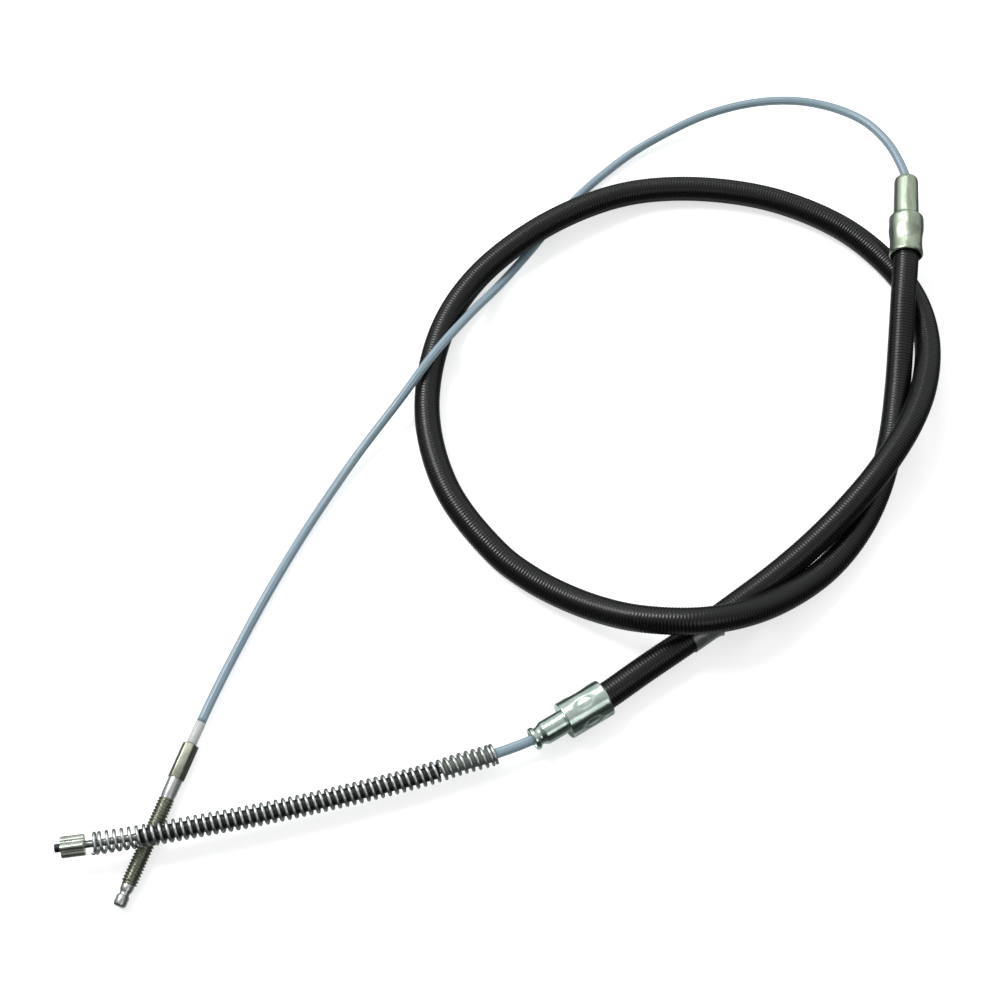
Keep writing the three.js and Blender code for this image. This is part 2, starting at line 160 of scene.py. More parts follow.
def make_camera():
    """The photograph's view: from above, 63.5 degrees over the surface."""
    data = bpy.data.cameras.new("view")
    data.lens = LENS
    data.sensor_width = SENSOR_WIDTH
    camera = bpy.data.objects.new("view", data)
    camera.location = metres((0.0, CAMERA_BACK, CAMERA_HEIGHT))
    camera.rotation_euler = (CAMERA_TILT, 0.0, 0.0)
    bpy.context.scene.collection.objects.link(camera)
    bpy.context.scene.camera = camera


make_camera()


# Lines that the cable follows

def smooth_line(places, step):
    """Points a step apart (millimetres in, metres out) on one smooth curve through the places."""
    p = np.array(places, float)
    p = np.vstack([2 * p[0] - p[1], p, 2 * p[-1] - p[-2]])
    fine = []
    for a, b, c, d in zip(p, p[1:], p[2:], p[3:]):
        ta, tb, tc = (np.linalg.norm(y - x) ** 0.5 for x, y in ((a, b), (b, c), (c, d)))
        start = ((b - a) / ta - (c - a) / (ta + tb) + (c - b) / tb) * tb
        end = ((c - b) / tb - (d - b) / (tb + tc) + (d - c) / tc) * tb
        t = np.linspace(0, 1, 40, endpoint=False)[:, None]
        fine.append(
            (2 * t**3 - 3 * t**2 + 1) * b + (t**3 - 2 * t**2 + t) * start
            + (3 * t**2 - 2 * t**3) * c + (t**3 - t**2) * end
        )
    fine.append(p[-2][None])
    fine = np.vstack(fine)
    return metres(even(fine, step))


def distances(line):
    """How far along the line each of its points is."""
    return np.concatenate([[0.0], np.cumsum(np.linalg.norm(np.diff(line, axis=0), axis=1))])


def even(line, step):
    """The same line with its points a step apart."""
    s = distances(line)
    count = max(2, int(round(s[-1] / step)) + 1)
    at = np.linspace(0, s[-1], count)
    return np.stack([np.interp(at, s, line[:, k]) for k in range(3)], axis=1)


def stretch(line, start, end, step):
    """Part of a line, from one distance along it to another, all in metres."""
    s = distances(line)
    at = np.linspace(start, end, max(2, int(round((end - start) / step)) + 1))
    return np.stack([np.interp(at, s, line[:, k]) for k in range(3)], axis=1)


def frames(line):
    """A tangent and two side directions for each point, carried along without twisting."""
    tangent = np.gradient(line, axis=0)
    tangent /= np.linalg.norm(tangent, axis=1)[:, None]
    side = np.cross(UP, tangent[0])
    side /= np.linalg.norm(side)
    sides = []
    for t in tangent:
        side = side - t * (side @ t)
        side /= np.linalg.norm(side)
        sides.append(side)
    sides = np.array(sides)
    return tangent, sides, np.cross(tangent, sides)


# Pieces from mesh operators

def swept(line, radius, sides):
    """A closed tube round a line. radius(distance, angle) gives metres, for arrays of both."""
    bm = bmesh.new()
    uv = bm.loops.layers.uv.new("along")
    rings = len(line)
    bmesh.ops.create_grid(bm, x_segments=sides, y_segments=rings - 1, size=1.0)
    s = distances(line)
    tangent, across, over = frames(line)
    column = [round((v.co.x + 1) / 2 * sides) for v in bm.verts]
    row = [round((v.co.y + 1) / 2 * (rings - 1)) for v in bm.verts]
    angle = 2 * math.pi * np.array(column) / sides
    row_at = np.array(row)
    r = np.broadcast_to(radius(s[row_at], angle), angle.shape)
    place = (
        line[row_at]
        + across[row_at] * (r * np.cos(angle))[:, None]
        + over[row_at] * (r * np.sin(angle))[:, None]
    )
    for face in bm.faces:
        for loop in face.loops:
            i = loop.vert.index
            loop[uv].uv = (column[i] / sides, s[row[i]])
    for v, co in zip(bm.verts, place):
        v.co = co
    bmesh.ops.remove_doubles(bm, verts=bm.verts, dist=1e-7)
    bmesh.ops.holes_fill(bm, edges=[e for e in bm.edges if e.is_boundary], sides=0)
    bmesh.ops.recalc_face_normals(bm, faces=bm.faces)
    return bm


def dense(profile, step):
    """A profile with points added, so that none is further than a step from the next."""
    out = []
    for (x, r), (x2, r2) in zip(profile, profile[1:] + profile[:1]):
        parts = max(1, int(math.hypot(x2 - x, r2 - r) / step))
        out += [(x + (x2 - x) * i / parts, r + (r2 - r) * i / parts) for i in range(parts)]
    return out


def turned(profile, segments, step=None):
    """A closed profile, as (distance along, radius) in millimetres, spun round its own Z axis."""
    if step:
        profile = dense(profile, step)
    bm = bmesh.new()
    verts = [bm.verts.new((r * MM, 0.0, x * MM)) for x, r in profile]
    edges = [bm.edges.new(pair) for pair in zip(verts, verts[1:] + verts[:1])]
    bmesh.ops.spin(
        bm, geom=verts + edges, cent=(0, 0, 0), axis=(0, 0, 1), dvec=(0, 0, 0),
        angle=2 * math.pi, steps=segments, use_merge=True, use_duplicate=False,
    )
    bmesh.ops.remove_doubles(bm, verts=bm.verts, dist=1e-7)
    bmesh.ops.recalc_face_normals(bm, faces=bm.faces)
    return bm


def aimed(bm, start, aim, facing=UP):
    """Moves a piece so that its own Z axis runs along aim from start, and its X axis faces a side."""
    z = unit(aim)
    x = unit(np.array(facing) - z * (np.array(facing) @ z))
    y = np.cross(z, x)
    turn = Matrix([[x[i], y[i], z[i], metres(start)[i]] for i in range(3)] + [[0, 0, 0, 1]])
    bmesh.ops.transform(bm, matrix=turn, verts=bm.verts)
    return bm


def piece(bm, name, finish, body, nodes=()):
    """A finished object from a bmesh, in its finish, standing for its CAD nodes."""
    mesh = bpy.data.meshes.new(name)
    bm.to_mesh(mesh)
    bm.free()
    for face in mesh.polygons:
        face.use_smooth = True
    obj = bpy.data.objects.new(name, mesh)
    bpy.context.scene.collection.objects.link(obj)
    mesh.materials.append(FINISHES[finish])
    if body:
        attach(obj, body)
    if nodes:
        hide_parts(*nodes)
    return obj


def sharpen(obj, degrees=32):
    """Edges sharper than this angle stay crisp."""
    obj.data.set_sharp_from_angle(angle=math.radians(degrees))
    return obj


# Material helpers

class Look:
    """A material's node tree, with short ways to add to it."""

    def __init__(self, name):
        self.material = bpy.data.materials.new(name)
        self.material.use_nodes = True
        self.tree = self.material.node_tree
        self.shader = self.tree.nodes["Principled BSDF"]

    def node(self, kind, **values):
        made = self.tree.nodes.new(kind)
        for key, value in values.items():
            setattr(made, key, value)
        return made

    def set(self, **values):
        for key, value in values.items():
            self.shader.inputs[key.replace("_", " ")].default_value = value

    def link(self, out, into):
        self.tree.links.new(out, into)

    def place(self):
        return self.node("ShaderNodeTexCoord").outputs["Object"]

    def along(self):
        return self.node("ShaderNodeUVMap", uv_map="along").outputs["UV"]

    def scaled(self, source, scale):
        mapping = self.node("ShaderNodeMapping")
        mapping.inputs["Scale"].default_value = scale
        self.link(source, mapping.inputs["Vector"])
        return mapping.outputs["Vector"]

    def noise(self, source, scale, detail=3.0, roughness=0.55):
        made = self.node("ShaderNodeTexNoise")
        made.inputs["Scale"].default_value = scale
        made.inputs["Detail"].default_value = detail
        made.inputs["Roughness"].default_value = roughness
        self.link(source, made.inputs["Vector"])
        return made.outputs["Fac"]

    def ramp(self, source, *stops):
        made = self.node("ShaderNodeValToRGB")
        elements = made.color_ramp.elements
        while len(elements) < len(stops):
            elements.new(0.5)
        for element, (at, color) in zip(elements, stops):
            element.position = at
            element.color = color if len(color) == 4 else (*color, 1.0)
        self.link(source, made.inputs["Fac"])
        return made.outputs["Color"]

    def bump(self, height, strength, distance):
        made = self.node("ShaderNodeBump")
        made.inputs["Strength"].default_value = strength
        made.inputs["Distance"].default_value = distance
        self.link(height, made.inputs["Height"])
        self.link(made.outputs["Normal"], self.shader.inputs["Normal"])

    def color(self, source):
        self.link(source, self.shader.inputs["Base Color"])

    def rough(self, source, low, high):
        made = self.node("ShaderNodeMapRange")
        made.inputs["To Min"].default_value = low
        made.inputs["To Max"].default_value = high
        self.link(source, made.inputs["Value"])
        self.link(made.outputs["Result"], self.shader.inputs["Roughness"])


def mottled_grain():
    """A shared effect: two mottled colours, an uneven gloss and a fine relief."""
    tree = bpy.data.node_groups.new("mottled_grain", "ShaderNodeTree")
    inputs = (
        ("Vector", "Vector"), ("Dark", "Color"), ("Light", "Color"), ("Cloud Scale", "Float"),
        ("Grain Scale", "Float"), ("Gloss Low", "Float"), ("Gloss High", "Float"), ("Relief", "Float"),
    )
    for name, kind in inputs:
        tree.interface.new_socket(name=name, in_out="INPUT", socket_type="NodeSocket" + kind)
    for name, kind in (("Color", "Color"), ("Roughness", "Float"), ("Normal", "Vector")):
        tree.interface.new_socket(name=name, in_out="OUTPUT", socket_type="NodeSocket" + kind)
    source = tree.nodes.new("NodeGroupInput").outputs
    result = tree.nodes.new("NodeGroupOutput").inputs
    link = tree.links.new

    def noise(scale, detail):
        made = tree.nodes.new("ShaderNodeTexNoise")
        made.inputs["Detail"].default_value = detail
        link(source["Vector"], made.inputs["Vector"])
        link(source[scale], made.inputs["Scale"])
        return made.outputs["Fac"]

    cloud = noise("Cloud Scale", 4.0)
    fine = noise("Grain Scale", 2.0)
    spread = tree.nodes.new("ShaderNodeMapRange")
    spread.inputs["From Min"].default_value = 0.32
    spread.inputs["From Max"].default_value = 0.68
    link(cloud, spread.inputs["Value"])
    mix = tree.nodes.new("ShaderNodeMix")
    mix.data_type = "RGBA"
    link(spread.outputs["Result"], mix.inputs["Factor"])
    link(source["Dark"], mix.inputs[6])
    link(source["Light"], mix.inputs[7])
    link(mix.outputs[2], result["Color"])
    gloss = tree.nodes.new("ShaderNodeMapRange")
    link(fine, gloss.inputs["Value"])
    link(source["Gloss Low"], gloss.inputs["To Min"])
    link(source["Gloss High"], gloss.inputs["To Max"])
    link(gloss.outputs["Result"], result["Roughness"])
    bump = tree.nodes.new("ShaderNodeBump")
    bump.inputs["Distance"].default_value = 0.00005
    link(source["Relief"], bump.inputs["Strength"])
    link(fine, bump.inputs["Height"])
    link(bump.outputs["Normal"], result["Normal"])
    return tree


GRAIN = mottled_grain()


def grained(name, light, dark, roughness, metallic, squeeze=(1, 1, 1), cloud=260.0, relief=0.25):
    """A material with the mottled grain. squeeze draws the grain out along an axis."""
    look = Look(name)
    look.set(Metallic=metallic)
    grain = look.node("ShaderNodeGroup", node_tree=GRAIN)
    values = {
        "Dark": (*dark, 1.0), "Light": (*light, 1.0), "Cloud Scale": cloud, "Grain Scale": 900.0,
        "Gloss Low": roughness * 0.75, "Gloss High": roughness * 1.35, "Relief": relief,
    }
    for key, value in values.items():
        grain.inputs[key].default_value = value
    look.link(look.scaled(look.place(), squeeze), grain.inputs["Vector"])
    look.color(grain.outputs["Color"])
    look.link(grain.outputs["Roughness"], look.shader.inputs["Roughness"])
    look.link(grain.outputs["Normal"], look.shader.inputs["Normal"])
    return look.material


def black_sheath():
    """Charcoal plastic with a satin gloss, and a painted highlight that makes it slightly paler on the
    ribs' crests.
    """
    look = Look("black_sheath")
    ribs = look.scaled(look.along(), (1.0, 1.0 / RIB_PITCH, 1.0))
    wave = look.node("ShaderNodeTexWave", wave_type="BANDS", bands_direction="Y")
    wave.inputs["Scale"].default_value = 0.314
    look.link(ribs, wave.inputs["Vector"])
    # Painted highlight: the rib bands pale the colour on each crest, standing in for the light caught
    # there.
    look.color(look.ramp(
        wave.outputs["Fac"], (0.1, (0.002, 0.002, 0.003)), (0.9, (0.012, 0.012, 0.013)),
    ))
    dust = look.noise(look.place(), 420.0, 4.0)
    look.rough(dust, 0.2, 0.36)
    look.bump(dust, 0.2, 0.00004)
    return look.material


def clear_coat():
    """The strand's pale blue plastic coat, with long faint lines, and see-through in part."""
    look = Look("clear_coat")
    lines = look.scaled(look.along(), (26.0, 14.0, 1.0))
    streak = look.noise(lines, 1.0, 3.0)
    look.color(look.ramp(
        streak, (0.3, (0.24, 0.37, 0.48)), (0.52, (0.44, 0.6, 0.7)), (0.75, (0.78, 0.87, 0.9)),
    ))
    look.set(Roughness=0.24, Transmission_Weight=0.12, IOR=1.46)
    look.bump(streak, 0.15, 0.00006)
    return look.material


def milky_plastic():
    """The clear collar: milky and nearly see-through."""
    look = Look("milky_plastic")
    cloud = look.noise(look.place(), 300.0)
    look.color(look.ramp(cloud, (0.3, (0.86, 0.9, 0.89)), (0.7, (0.96, 0.98, 0.97))))
    look.set(Roughness=0.18, Transmission_Weight=0.2, IOR=1.45)
    return look.material


def spring_steel():
    """Drawn steel wire with painted light: a painted highlight down its centre and painted shade that
    darkens it towards its edges.
    """
    look = Look("spring_steel")
    # Painted light: the base colour follows the view angle, a painted highlight where the wire faces
    # the camera and painted shade at its edges.
    facing = look.node("ShaderNodeLayerWeight")
    facing.inputs["Blend"].default_value = 0.5
    look.color(look.ramp(
        facing.outputs["Facing"],
        (0.0, (0.92, 0.96, 0.97)), (0.5, (0.74, 0.78, 0.79)),
        (0.72, (0.3, 0.32, 0.32)), (0.95, (0.04, 0.04, 0.04)),
    ))
    look.set(Metallic=1.0, Roughness=0.36)
    return look.material


FINISHES = {
    "black_sheath": black_sheath(),
    "clear_coat": clear_coat(),
    "milky_plastic": milky_plastic(),
    "wire": grained("wire", (0.6, 0.63, 0.6), (0.2, 0.21, 0.2), 0.3, 1.0),
    "satin_zinc": grained(
        "satin_zinc", (0.72, 0.82, 0.67), (0.42, 0.51, 0.38), 0.33, 1.0, (1, 0.2, 1), 420.0, 0.5,
    ),
    "bright_zinc": grained("bright_zinc", (0.86, 1.0, 0.93), (0.62, 0.78, 0.7), 0.2, 1.0),
    "silver": grained("silver", (0.9, 0.93, 0.91), (0.68, 0.71, 0.7), 0.3, 1.0),
    "olive_zinc": grained("olive_zinc", (0.47, 0.49, 0.4), (0.37, 0.39, 0.31), 0.3, 1.0),
    "crimped_zinc": grained("crimped_zinc", (0.85, 0.9, 0.8), (0.5, 0.55, 0.48), 0.28, 1.0),
    "spring_steel": spring_steel(),
    "grey_plastic": grained("grey_plastic", (0.22, 0.27, 0.22), (0.12, 0.15, 0.12), 0.45, 0.0),
    "black_plastic": grained("black_plastic", (0.012, 0.012, 0.014), (0.005, 0.005, 0.006), 0.4, 0.0),
}


# The cords: the ribbed conduit and the coated cable on the lever side

LEVER_SEAT = LEVER_MOUTH + SEAT_DEPTH * LEVER_AIM
DRUM_SEAT = DRUM_MOUTH + SEAT_DEPTH * DRUM_AIM
CONDUIT_PLACES = [LEVER_SEAT, LEVER_MOUTH, *CONDUIT_ROUTE, DRUM_MOUTH, DRUM_SEAT]
LEVER_PLACES = [
    LEVER_SEAT + FIT * LEVER_AIM, LEVER_TIP - 4 * LEVER_AIM, LEVER_TIP, *CABLE_ROUTE,
    ROD_START - CLEAR_COLLAR_LENGTH * ROD_AIM, ROD_START,
    ROD_START + STRAND_IN_ROD * ROD_AIM,
]
DRUM_PLACES = [
    DRUM_SEAT + FIT * DRUM_AIM, DRUM_TIP - 4 * DRUM_AIM, DRUM_TIP, *DRUM_ROUTE,
    NIPPLE_FACE + (NIPPLE_LENGTH + STUB_LENGTH) * NIPPLE_AIM,
]
conduit_line = smooth_line(CONDUIT_PLACES, RIB_PITCH / MM / 4)
lever_line = smooth_line(LEVER_PLACES, 1.0)
drum_line = smooth_line(DRUM_PLACES, 1.0)


def length(line):
    return distances(line)[-1]


def twisted(radius):
    """The radius of a rope of twisted strands, each turning once round in one lay."""
    def at(s, angle):
        wave = np.abs(np.sin(STRANDS / 2 * (angle - 2 * math.pi * s / STRAND_LAY)))
        return radius * (0.86 + 0.14 * wave)
    return at


def ribbed(s, angle):
    return SHEATH_R - RIB_DEPTH * (0.5 - 0.5 * np.cos(2 * math.pi * s / RIB_PITCH))


def make_conduit():
    """The plastic sheath, ribbed over its wound armour, between the two ferrules."""
    obj = piece(
        swept(conduit_line, ribbed, 20), "ribbed_conduit", "black_sheath", "root",
        ["conduit_sheath", "armour_coil", "inner_coat", "inner_strand"],
    )


make_conduit()


def lever_stretch(start, end, step):
    """Part of the lever-side line, from a distance after its start to one before its end (mm)."""
    return stretch(lever_line, start * MM, length(lever_line) - end * MM, step * MM)


def make_lever_cable():
    """The coated strand that leaves the lever-side ferrule, and the bare strand in the collar."""
    coat_line = lever_stretch(0, STRAND_IN_ROD + CLEAR_COLLAR_LENGTH + FIT, 1.5)
    coat = piece(
        swept(coat_line, lambda s, angle: COAT_R, 16), "lever_coat_tube", "clear_coat",
        None, ["lever_coat"],
    )
    strand_line = lever_stretch(0, 0, 0.8)
    strand = piece(
        swept(strand_line, twisted(STRAND_R), 28), "lever_wire_strand", "wire", None, ["lever_strand"],
    )
    for obj in (coat, strand):
        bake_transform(obj)
    return coat, coat_line


lever_coat, lever_coat_line = make_lever_cable()


# Ferrules

FERRULE_BORE = 2.5
FERRULE_FLARE = 3.1
CUP_BORE = 5.8


def bulge(bm, change):
    """Moves each vertex in or out by change(distance along, angle, radius), in millimetres."""
    for v in bm.verts:
        r = math.hypot(v.co.x, v.co.y)
        if r < 1e-6:
            continue
        out = change(v.co.z / MM, math.atan2(v.co.y, v.co.x), r / MM) * MM
        v.co.x *= (r + out) / r
        v.co.y *= (r + out) / r
    return bm


def bell(x):
    """1 at 0, falling smoothly to 0 at 1 and beyond."""
    x = min(1.0, abs(x))
    return (1 - x * x) ** 2


def make_lever_ferrule():
    """The lever-side ferrule: a sleeve with a rounded end, a cone, and a cup crimped at its waist."""
    length_mm = LEVER_FERRULE_LENGTH
    floor = length_mm - SEAT_DEPTH - FIT
    profile = [
        (2.2, FERRULE_BORE), (0, FERRULE_FLARE), (0, 3.8), (0.2, 4.3), (0.7, 4.75), (1.3, 5.0),
        (2.2, 5.16), (19.2, 5.48), (19.5, 5.7), (20.2, 6.9), (20.6, 7.25), (21.4, 7.45), (27.0, 7.5),
        (29.0, 7.25), (31.2, 6.95), (33.6, 6.9), (35.6, 7.0), (37.4, 7.2), (38.4, 7.35), (39.1, 7.3),
        (39.42, 7.05), (39.5, 6.75), (39.3, 6.35), (length_mm - 1.6, 6.0), (length_mm - 4, CUP_BORE),
        (floor, CUP_BORE), (floor - 1.5, FERRULE_BORE),
    ]

    def crimped(x, angle, r):
        if r < 6.7:
            return 0.0
        facets = 0.16 * math.cos(6 * angle) * bell((x - 31.6) / 5.0)
        swell = 0.1 * bell((x - 24.0) / 4) * math.cos(5 * angle + 0.6)
        arc = x - 33.4 + 1.1 * (angle / 0.3) ** 2
        mark = -0.22 * bell(arc / 0.55) * (abs(angle) < 0.34)
        return facets + mark + swell

    bm = bulge(turned(profile, 96, 0.6), crimped)
    aimed(bm, LEVER_TIP, -LEVER_AIM, VIEW_SIDE)
    sharpen(piece(bm, "lever_side_ferrule", "satin_zinc", "root", ["lever_ferrule"]), 40)


def make_drum_ferrule():
    """The drum-side ferrule: flange, groove, collar, flat shoulder and a cup with oval crimps."""
    length_mm = DRUM_FERRULE_LENGTH
    floor = length_mm - SEAT_DEPTH - FIT
    profile = [
        (3.0, FERRULE_BORE), (0, FERRULE_FLARE), (0, 4.1), (0.2, 4.42), (0.6, 4.55), (1.5, 4.55),
        (1.9, 4.35), (2.2, 3.75), (2.8, 3.55), (3.5, 3.65), (4.5, 4.2), (5.3, 4.6), (5.8, 4.65),
        (14.2, 4.65), (14.3, 4.8), (14.3, 7.0), (14.4, 7.3), (14.7, 7.47), (15.2, 7.5),
        (length_mm - 0.4, 7.5), (length_mm - 0.1, 7.4), (length_mm, 7.2), (length_mm, 6.7),
        (length_mm - 3, CUP_BORE + 0.2), (length_mm - 6, CUP_BORE), (floor, CUP_BORE),
        (floor - 1.5, FERRULE_BORE),
    ]
    crimps = 5
    crimp_turn = math.radians(-18)

    def crimped(x, angle, r):
        if r < 7.0:
            return 0.0
        depth = 0.0
        for i in range(crimps):
            offset = (angle - crimp_turn - 2 * math.pi * i / crimps + math.pi) % (2 * math.pi) - math.pi
            reach = math.hypot((x - 23.6) / 5.6, offset * 7.5 / 3.1)
            depth = max(depth, min(1.0, bell(reach) * 2.2))
        return -0.34 * depth

    bm = bulge(turned(profile, 120, 0.4), crimped)
    aimed(bm, DRUM_TIP, -DRUM_AIM, VIEW_SIDE)
    sharpen(piece(bm, "drum_side_ferrule", "bright_zinc", "root", ["drum_ferrule"]), 40)


def make_split_sleeve():
    """The split sleeve clipped round the conduit, with a lengthwise slit and a flared end."""
    start = np.array([74.3, -65.3, 7.5])
    aim = unit(np.array([84.8, -57.8, 7.55]) - start)
    slit = math.radians(11)
    bm = bmesh.new()
    outline = [(0, 5.95), (0.4, 5.85), (9.5, 5.85), (11.5, 6.0), (12.6, 6.3), (13.0, 6.6)]
    verts = [bm.verts.new((r * MM, 0, x * MM)) for x, r in outline]
    edges = [bm.edges.new(pair) for pair in zip(verts, verts[1:])]
    bmesh.ops.spin(
        bm, geom=verts + edges, cent=(0, 0, 0), axis=(0, 0, 1), dvec=(0, 0, 0),
        angle=2 * math.pi - slit, steps=72, use_merge=False, use_duplicate=False,
    )
    bmesh.ops.recalc_face_normals(bm, faces=bm.faces)
    bmesh.ops.solidify(bm, geom=bm.faces, thickness=-0.4 * MM)
    bmesh.ops.recalc_face_normals(bm, faces=bm.faces)
    aimed(bm, start, aim, VIEW_SIDE)
    sharpen(piece(bm, "conduit_split_sleeve", "silver", "root", ["split_sleeve"]), 40)


make_lever_ferrule()
make_drum_ferrule()
make_split_sleeve()


# The rod on the lever side

HEX_ROLL = math.radians(30)
THREAD_DEPTH = 0.7


def make_rod():
    """The threaded end rod: hexagon, shank, thread, and a small knob behind a neck."""
    thread_at = HEX_LENGTH + SHANK_LENGTH
    knob_at = thread_at + THREAD_LENGTH
    hexagon = bmesh.new()
    bmesh.ops.create_circle(hexagon, cap_ends=True, radius=HEX_R * MM, segments=6)
    body = bmesh.ops.extrude_face_region(hexagon, geom=list(hexagon.faces))
    top = [v for v in body["geom"] if isinstance(v, bmesh.types.BMVert)]
    bmesh.ops.translate(hexagon, verts=top, vec=(0, 0, HEX_LENGTH * MM))
    bmesh.ops.recalc_face_normals(hexagon, faces=hexagon.faces)
    bmesh.ops.bevel(
        hexagon, geom=list(hexagon.edges), offset=0.32 * MM, segments=3, profile=0.5,
        affect="EDGES", material=-1,
    )
    across = np.cross(ROD_AIM, VIEW_SIDE)
    aimed(hexagon, ROD_START, ROD_AIM, across * math.cos(HEX_ROLL) + VIEW_SIDE * math.sin(HEX_ROLL))
    rod_hex = piece(hexagon, "rod_hexagon", "olive_zinc", "lever_end", ["threaded_end"])
    sharpen(rod_hex, 50)

    shank = turned([
        (HEX_LENGTH - 1, 0.2), (HEX_LENGTH - 1, SHANK_R), (thread_at - 0.8, SHANK_R - 0.08),
        (thread_at - 0.2, SHANK_R - 0.25), (thread_at + 0.4, SHANK_R - 0.3), (thread_at + 0.4, 0.2),
    ], 48)
    aimed(shank, ROD_START, ROD_AIM)
    sharpen(piece(shank, "rod_shank", "silver", "lever_end"))

    per_turn = 10
    start = ROD_START + thread_at * ROD_AIM
    end = ROD_START + knob_at * ROD_AIM
    count = int(THREAD_LENGTH / THREAD_PITCH * per_turn) + 1
    line = np.stack([metres(start + (end - start) * k / (count - 1)) for k in range(count)])

    def threaded(s, angle):
        turn = (s / (THREAD_PITCH * MM) - angle / (2 * math.pi)) % 1.0
        ridge = 1 - np.abs(2 * turn - 1)
        runout = np.clip(np.minimum(s, THREAD_LENGTH * MM - s) / (0.8 * MM), 0, 1)
        depth = THREAD_DEPTH * MM * (1 - np.clip(ridge * 1.15, 0, 1))
        return (THREAD_R * MM - depth) - (1 - runout) * 0.45 * MM
    piece(swept(line, threaded, 40), "rod_thread", "olive_zinc", "lever_end")

    knob = turned([
        (knob_at - 0.3, 0.2), (knob_at - 0.3, 2.2), (knob_at + 0.2, 2.4), (knob_at + 0.7, 2.45),
        (knob_at + 2.1, 2.35), (knob_at + 2.6, 2.05), (knob_at + 3.1, 1.88), (knob_at + 3.8, 1.86),
        (knob_at + 4.2, 2.1), (knob_at + 4.5, 2.38), (knob_at + 5.7, 2.44), (knob_at + 5.85, 2.28),
        (knob_at + 6.05, 2.28), (knob_at + 6.2, 2.46), (knob_at + 7.5, 2.42), (knob_at + 8.1, 2.15),
        (knob_at + KNOB_LENGTH, 1.6), (knob_at + KNOB_LENGTH, 0.2),
    ], 48)
    aimed(knob, ROD_START, ROD_AIM)
    sharpen(piece(knob, "rod_knob", "silver", "lever_end"), 40)
    return rod_hex


def make_clear_collar():
    """The milky collar on the strand between the coat's end and the hexagon."""
    end = CLEAR_COLLAR_LENGTH - FIT
    bm = turned([
        (0, 1.5), (0, 1.85), (0.3, 2.0), (end - 0.4, 1.98), (end, 1.85), (end, 1.5),
    ], 32)
    aimed(bm, ROD_START - CLEAR_COLLAR_LENGTH * ROD_AIM, ROD_AIM)
    return piece(bm, "strand_collar", "milky_plastic", "lever_end", ["clear_collar"])


rod_hexagon = make_rod()
clear_collar = make_clear_collar()


# The drum side: cable, guide, sleeve, spring and nipple

NIPPLE_FACE_AT = length(drum_line) - (NIPPLE_LENGTH + STUB_LENGTH) * MM


def from_nipple(near, far, step):
    """Part of the drum-side line, measured in millimetres from the nipple's face."""
    return stretch(drum_line, NIPPLE_FACE_AT - far * MM, NIPPLE_FACE_AT - near * MM, step * MM)


def make_drum_cable():
    """The coated strand between the ferrule and the guide, and the bare strand to the nipple."""
    coat_end = NIPPLE_FACE_AT - (SPRING_END - COAT_IN_GUIDE) * MM
    coat_line = stretch(drum_line, 0, coat_end, 1 * MM)
    coat = piece(
        swept(coat_line, lambda s, angle: DRUM_COAT_R, 20), "drum_coat_tube", "clear_coat",
        None, ["drum_coat"],
    )
    strand_line = stretch(drum_line, 0, length(drum_line), 0.7 * MM)
    strand = piece(
        swept(strand_line, twisted(DRUM_STRAND_R), 28), "drum_wire_strand", "wire",
        None, ["drum_strand"],
    )
    for obj in (coat, strand):
        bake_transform(obj)


def make_spring():
    """The return spring: a round wire wound round the cable, with its end coils closer."""
    core = from_nipple(SPRING_START, SPRING_END, 1.0)
    steps = SPRING_TURNS * 24
    at = np.linspace(0, length(core), steps)
    middle = np.stack([np.interp(at, distances(core), core[:, k]) for k in range(3)], axis=1)
    tangent = np.gradient(middle, axis=0)
    tangent /= np.linalg.norm(tangent, axis=1)[:, None]
    side = np.cross(UP, tangent)
    side /= np.linalg.norm(side, axis=1)[:, None]
    over = np.cross(tangent, side)
    closed = CLOSED_TURNS * CLOSED_PITCH / (SPRING_END - SPRING_START)
    t = np.linspace(0, 1, steps)
    share = np.minimum(t, closed) + np.maximum(0, t - 1 + closed)
    open_turns = (SPRING_TURNS - 2 * CLOSED_TURNS) * (t - share) / (1 - 2 * closed)
    angle = 2 * math.pi * (CLOSED_TURNS * share / closed + open_turns)
    reach = SPRING_R * MM
    wire = middle + side * (reach * np.cos(angle))[:, None] + over * (reach * np.sin(angle))[:, None]
    bm = swept(wire, lambda s, a: WIRE_R * MM, 10)
    piece(bm, "wound_spring", "spring_steel", "drum_end", ["return_spring"])


def make_sleeve_and_guide():
    """The black sleeve inside the spring, and the grey guide at the ferrule's end."""
    sleeve_line = from_nipple(BLACK_SLEEVE_START, BLACK_SLEEVE_END, 2.0)
    black = swept(sleeve_line, lambda s, angle: BLACK_SLEEVE_R, 28)
    piece(black, "inner_black_sleeve", "black_plastic", "drum_end", ["black_sleeve"])
    guide_line = from_nipple(SPRING_END - GUIDE_LENGTH, SPRING_END, 1.0)
    grey = swept(guide_line, lambda s, angle: GUIDE_R, 28)
    piece(grey, "grey_spring_guide", "grey_plastic", "drum_end", ["spring_guide"])


